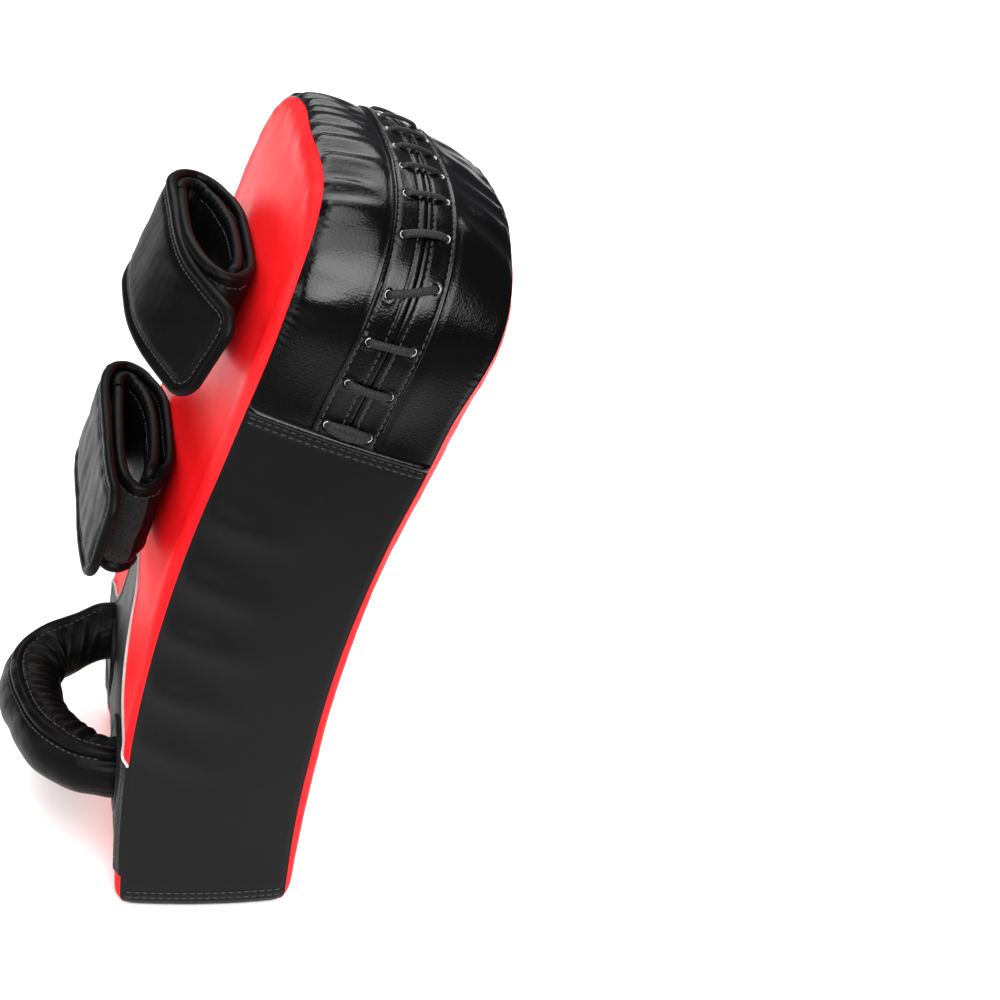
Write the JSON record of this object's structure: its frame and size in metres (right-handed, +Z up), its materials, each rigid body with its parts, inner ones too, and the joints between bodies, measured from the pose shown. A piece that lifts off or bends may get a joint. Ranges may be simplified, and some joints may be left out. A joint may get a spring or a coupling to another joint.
{
  "type": "curved forearm kick pad",
  "caption": "Curved padded striking shield with a laced cover, worn on the forearm by two hook-and-loop straps and a stuffed hand grip.",
  "frame": {"origin": "centre of the flat base that the pad stands on", "axes": "+Z up the pad, -Y the strike face, +Y the arm side with the straps and grip, +X across the pad"},
  "size_m": [0.2089, 0.2451, 0.405],
  "materials": {
    "red_leather": "smooth synthetic leather, satin",
    "black_leather": "fine-grained synthetic leather, low sheen",
    "gloss_leather": "synthetic leather, glossy",
    "strap_leather": "soft synthetic leather, semi-gloss",
    "lining_cloth": "matte lining",
    "tape_cloth": "hook-and-loop tape",
    "lace_cord": "braided cord",
    "foam": "closed-cell foam and stuffing"
  },
  "bodies": {
    "pad": {"strike_face_panel": "red_leather", "back_panel": "red_leather", "bottom_panel": "black_leather", "back_reinforcement": "black_leather", "left_side_wall": "black_leather", "right_side_wall": "black_leather", "top_wall_front_strip": "gloss_leather", "top_wall_back_strip": "gloss_leather", "placket_front": "gloss_leather", "placket_back": "gloss_leather", "left_seam_welt": "gloss_leather", "right_seam_welt": "gloss_leather", "lace": "lace_cord", "lacing_liner": "lining_cloth", "strike_foam": "foam", "core_foam": "foam", "back_board": "foam", "upper_strap_base": "strap_leather", "upper_base_lining": "lining_cloth", "lower_strap_base": "strap_leather", "lower_base_lining": "lining_cloth", "grip_left_patch": "black_leather", "grip_right_patch": "black_leather"},
    "upper_band": {"upper_band_cover": "strap_leather", "upper_band_padding": "foam", "upper_loop_tape": "tape_cloth"},
    "upper_flap": {"upper_flap_cover": "strap_leather", "upper_flap_padding": "foam", "upper_flap_lining": "lining_cloth", "upper_hook_tape": "tape_cloth"},
    "lower_band": {"lower_band_cover": "strap_leather", "lower_band_padding": "foam", "lower_loop_tape": "tape_cloth"},
    "lower_flap": {"lower_flap_cover": "strap_leather", "lower_flap_padding": "foam", "lower_flap_lining": "lining_cloth", "lower_hook_tape": "tape_cloth"},
    "grip": {"grip_cover": "strap_leather", "grip_stuffing": "foam"}
  },
  "joints": [
    {"name": "upper_flap_hinge", "type": "hinge", "parent": "pad", "child": "upper_flap", "pos_m": [0.06, 0.0141, 0.32731], "axis": [0, 0.309, -0.9511], "range_deg": [0, 125]},
    {"name": "upper_band_hinge", "type": "hinge", "parent": "pad", "child": "upper_band", "pos_m": [-0.063, 0.0122, 0.32669], "axis": [0, -0.309, 0.9511], "range_deg": [0, 50]},
    {"name": "lower_flap_hinge", "type": "hinge", "parent": "pad", "child": "lower_flap", "pos_m": [0.056, 0.0443, 0.22004], "axis": [0, 0.2473, -0.9689], "range_deg": [0, 125]},
    {"name": "lower_band_hinge", "type": "hinge", "parent": "pad", "child": "lower_band", "pos_m": [-0.063, 0.04334, 0.2198], "axis": [0, -0.2473, 0.9689], "range_deg": [0, 50]},
    {"name": "grip_hinge", "type": "hinge", "parent": "pad", "child": "grip", "pos_m": [0, 0.07169, 0.06751], "axis": [1, 0, 0], "range_deg": [-25, 25]}
  ],
  "couplings": [
    {"joint": "upper_band_hinge", "follows": "upper_flap_hinge", "ratio": 0.4},
    {"joint": "lower_band_hinge", "follows": "lower_flap_hinge", "ratio": 0.4}
  ]
}
